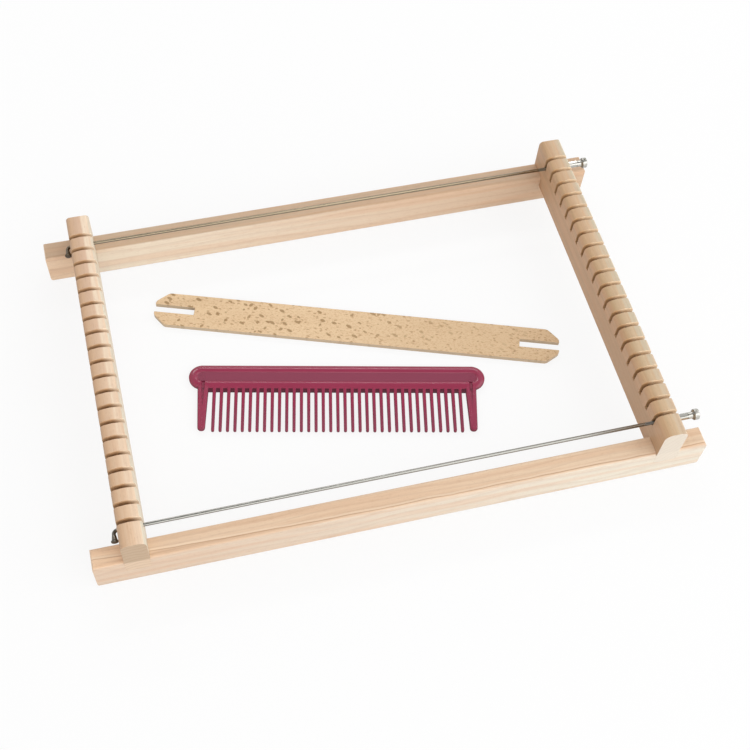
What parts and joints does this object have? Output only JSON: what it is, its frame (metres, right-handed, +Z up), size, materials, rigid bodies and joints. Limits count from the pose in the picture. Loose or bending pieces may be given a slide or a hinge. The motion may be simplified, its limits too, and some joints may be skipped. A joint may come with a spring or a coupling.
{
  "type": "weaving frame",
  "caption": "Small wooden table loom: plain rails, slotted bars let into them, steel edge rods with nipples, a stick shuttle and a beating comb.",
  "frame": {"origin": "middle of the footprint, on the surface that the rails stand on", "axes": "+X along the rails towards the nipples, +Y from the front rail to the rear rail, +Z up"},
  "size_m": [0.344, 0.22, 0.0414],
  "materials": {
    "beech": "sanded bare beech with fine long grain",
    "steel_wire": "drawn bright wire",
    "plated_nipple": "bright plated",
    "flecked_beech": "sanded bare beech with dark ray flecks",
    "plum_plastic": "glossy moulded plastic"
  },
  "bodies": {
    "frame": {"front_rail": "beech", "rear_rail": "beech", "left_bar": "beech", "right_bar": "beech"},
    "front_rod": {"front_edge_rod": "steel_wire"},
    "rear_rod": {"rear_edge_rod": "steel_wire"},
    "front_nipple": {"front_rod_nipple": "plated_nipple"},
    "rear_nipple": {"rear_rod_nipple": "plated_nipple"},
    "shuttle": {"shuttle": "flecked_beech"},
    "comb": {"comb": "plum_plastic"}
  },
  "joints": [
    {"name": "front_rod_lift", "type": "slide", "parent": "frame", "child": "front_rod", "axis": [0, 0, 1], "range_m": [0, 0.03]},
    {"name": "rear_rod_lift", "type": "slide", "parent": "frame", "child": "rear_rod", "axis": [0, 0, 1], "range_m": [0, 0.03]},
    {"name": "front_nipple_turn", "type": "hinge", "parent": "front_rod", "child": "front_nipple", "pos_m": [0.163, -0.095, 0.0323], "axis": [1, 0, 0], "continuous": true},
    {"name": "rear_nipple_turn", "type": "hinge", "parent": "rear_rod", "child": "rear_nipple", "pos_m": [0.163, 0.095, 0.0323], "axis": [1, 0, 0], "continuous": true},
    {"name": "shuttle_lift", "type": "slide", "parent": "frame", "child": "shuttle", "axis": [0, 0, 1], "range_m": [0, 0.06]},
    {"name": "comb_lift", "type": "slide", "parent": "frame", "child": "comb", "axis": [0, 0, 1], "range_m": [0, 0.06]}
  ]
}
